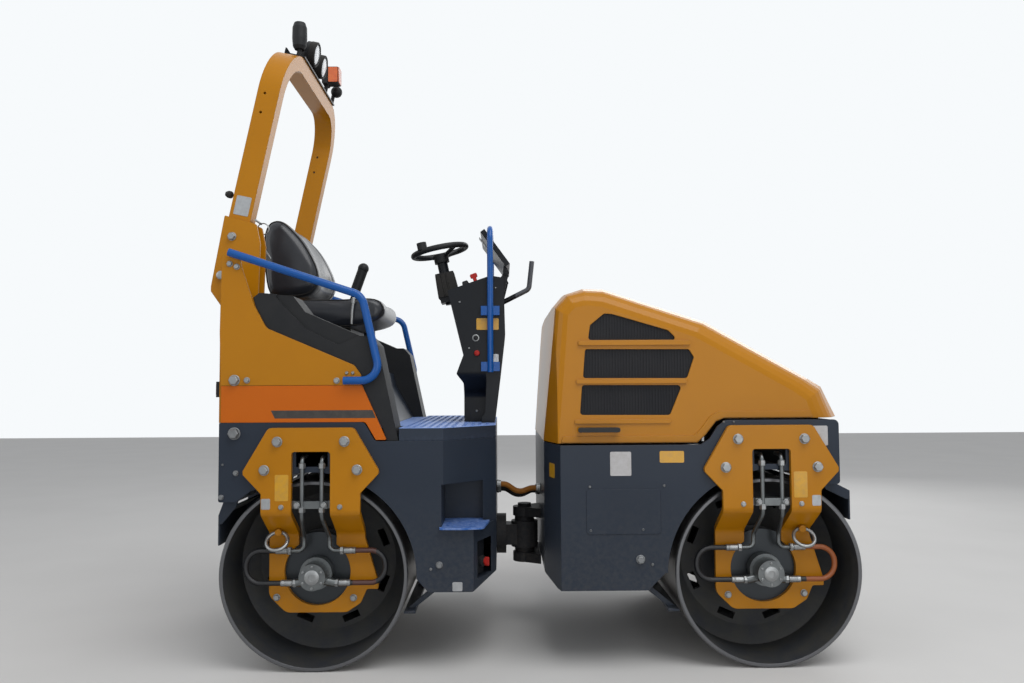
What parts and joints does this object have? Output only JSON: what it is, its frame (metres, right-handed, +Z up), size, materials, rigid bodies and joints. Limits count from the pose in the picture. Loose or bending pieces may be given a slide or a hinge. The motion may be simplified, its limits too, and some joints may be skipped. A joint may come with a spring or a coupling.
{
  "type": "tandem road roller",
  "caption": "Articulated tandem road roller with steel drums in joggled yokes, ribbed hood over the front frame, seat, console and folding roll bar over the rear frame.",
  "frame": {"origin": "middle of the footprint at ground level, under the machine's middle", "axes": "+X to the hood end, +Y to the machine's left side, +Z up"},
  "size_m": [2.53, 1.34, 2.6581],
  "materials": {
    "body_yellow": "gloss yellow paint, worn",
    "band_orange": "gloss orange paint",
    "frame_dark": "dark blue-grey paint, dusty",
    "drum_steel": "rolled steel, polished rims, dark painted inside",
    "zinc": "zinc plated and bare steel",
    "rail_blue": "gloss blue paint",
    "step_blue": "light blue paint, worn",
    "mat_blue": "blue ribbed rubber mat",
    "trim_black": "grained black plastic",
    "vinyl_black": "black seat vinyl",
    "rubber_black": "black rubber",
    "panel_black": "satin black paint",
    "lamp_black": "black lamp bodies with pale lenses",
    "lamp_amber": "amber lens on black bases",
    "lamp_red": "red lens",
    "iron_grey": "cast iron, dusty",
    "engine_block": "plain block",
    "grille_black": "black ribbed mesh"
  },
  "bodies": {
    "rear_frame": {"rear_frame": "frame_dark", "steer_barrel": "iron_grey", "centre_swivel": "iron_grey", "joint_hoses": "rubber_black", "operator_floor": "mat_blue", "step_plates": "step_blue", "side_panels": "body_yellow", "side_bands": "band_orange", "seat_platform": "frame_dark", "rear_panel": "body_yellow", "rear_lamps": "lamp_red", "side_consoles": "trim_black", "seat_base": "trim_black", "seat_cushion": "vinyl_black", "seat_back": "vinyl_black", "travel_lever": "trim_black", "seat_rails": "rail_blue", "rops_brackets": "body_yellow", "console": "panel_black", "console_hoop": "rail_blue", "rear_scrapers": "frame_dark", "rear_yoke_right": "body_yellow", "rear_yoke_left": "body_yellow", "rear_motor_right": "zinc", "rear_motor_left": "zinc", "rear_tie_rings": "zinc"},
    "front_frame": {"front_frame": "frame_dark", "centre_fork": "iron_grey", "engine": "engine_block", "front_scrapers": "frame_dark", "front_yoke_right": "body_yellow", "front_yoke_left": "body_yellow", "front_motor_right": "zinc", "front_motor_left": "zinc", "front_tie_rings": "zinc"},
    "rear_drum": {"rear_drum": "drum_steel"},
    "front_drum": {"front_drum": "drum_steel"},
    "rops": {"rops_hoop": "body_yellow", "lamp_bar": "zinc", "work_lamps": "lamp_black", "beacons": "lamp_amber"},
    "steering_wheel": {"steering_wheel": "trim_black"},
    "panel_cover": {"panel_cover": "panel_black"},
    "hood": {"hood": "body_yellow", "hood_grilles": "grille_black"},
    "steer_rod": {"steer_rod": "zinc"}
  },
  "joints": [
    {"name": "steer", "type": "hinge", "parent": "rear_frame", "child": "front_frame", "pos_m": [-0.014, 0, 0.411], "axis": [0, 0, 1], "range_deg": [-25, 25], "deforming": ["joint_hoses"]},
    {"name": "rear_drum_spin", "type": "hinge", "parent": "rear_frame", "child": "rear_drum", "pos_m": [-0.833, 0, 0.36], "axis": [0, 1, 0], "continuous": true},
    {"name": "front_drum_spin", "type": "hinge", "parent": "front_frame", "child": "front_drum", "pos_m": [0.905, 0, 0.36], "axis": [0, 1, 0], "continuous": true},
    {"name": "rops_fold", "type": "hinge", "parent": "rear_frame", "child": "rops", "pos_m": [-1.223, 0, 1.521], "axis": [0, -1, 0], "range_deg": [0, 100]},
    {"name": "hood_lift", "type": "hinge", "parent": "front_frame", "child": "hood", "pos_m": [1.196, 0, 0.9], "axis": [0, 1, 0], "range_deg": [0, 60]},
    {"name": "wheel_turn", "type": "hinge", "parent": "rear_frame", "child": "steering_wheel", "pos_m": [-0.397, 0, 1.697], "axis": [-0.2079, 0, 0.9781], "continuous": true},
    {"name": "cover_swing", "type": "hinge", "parent": "rear_frame", "child": "panel_cover", "pos_m": [-0.092, 0, 1.572], "axis": [0, -1, 0], "range_deg": [0, 73]},
    {"name": "steer_rod_slide", "type": "slide", "parent": "rear_frame", "child": "steer_rod", "axis": [0.9747, -0.2237, 0], "range_m": [-0.058, 0.058]}
  ],
  "couplings": [
    {"joint": "steer_rod_slide", "follows": "steer", "m_per_rad": -0.1291}
  ]
}
